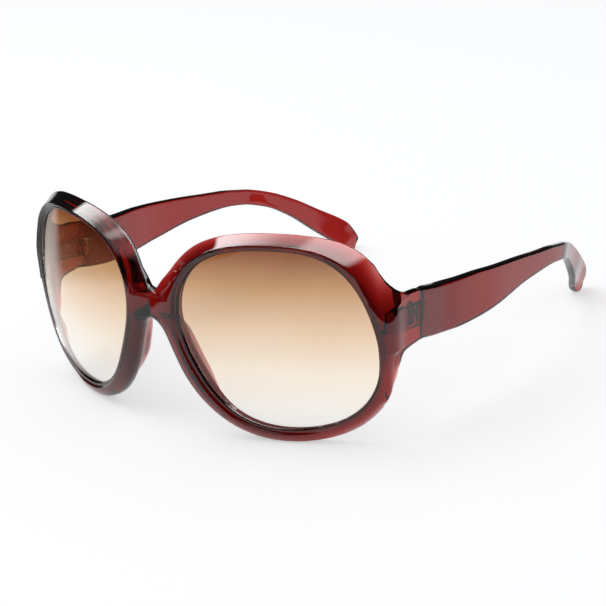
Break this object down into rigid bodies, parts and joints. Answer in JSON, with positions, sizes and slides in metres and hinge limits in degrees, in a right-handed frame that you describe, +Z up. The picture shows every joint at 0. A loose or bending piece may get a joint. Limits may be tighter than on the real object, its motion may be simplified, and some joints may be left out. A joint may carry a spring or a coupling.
{
  "type": "sunglasses",
  "caption": "Oversized oval sunglasses: one wrapped translucent front with moulded nose pads, tinted lenses, and temples that fold on plastic hinges with metal screws.",
  "frame": {"origin": "middle of the bounding box in plan, on the surface the sunglasses rest on", "axes": "X across the face, the front facing -Y and the temples running to +Y, +Z up"},
  "size_m": [0.1486, 0.1792, 0.0667],
  "materials": {
    "plastic": "polished translucent wine red",
    "lens": "polished, tinted brown above and clearer below",
    "screw_metal": "satin"
  },
  "bodies": {
    "front": {"front_frame": "plastic", "lens_right": "lens", "lens_left": "lens", "front_hinge_right": "plastic", "front_hinge_left": "plastic", "hinge_screw_right": "screw_metal", "hinge_screw_left": "screw_metal"},
    "right_arm": {"temple_right": "plastic", "temple_hinge_right": "plastic"},
    "left_arm": {"temple_left": "plastic", "temple_hinge_left": "plastic"}
  },
  "joints": [
    {"name": "right_temple_fold", "type": "hinge", "parent": "front", "child": "right_arm", "pos_m": [0.06665, -0.04769, 0.03785], "axis": [0, 0.0795, 0.9968], "range_deg": [0, 86]},
    {"name": "left_temple_fold", "type": "hinge", "parent": "front", "child": "left_arm", "pos_m": [-0.06665, -0.04769, 0.03785], "axis": [0, -0.0795, -0.9968], "range_deg": [0, 80]}
  ]
}
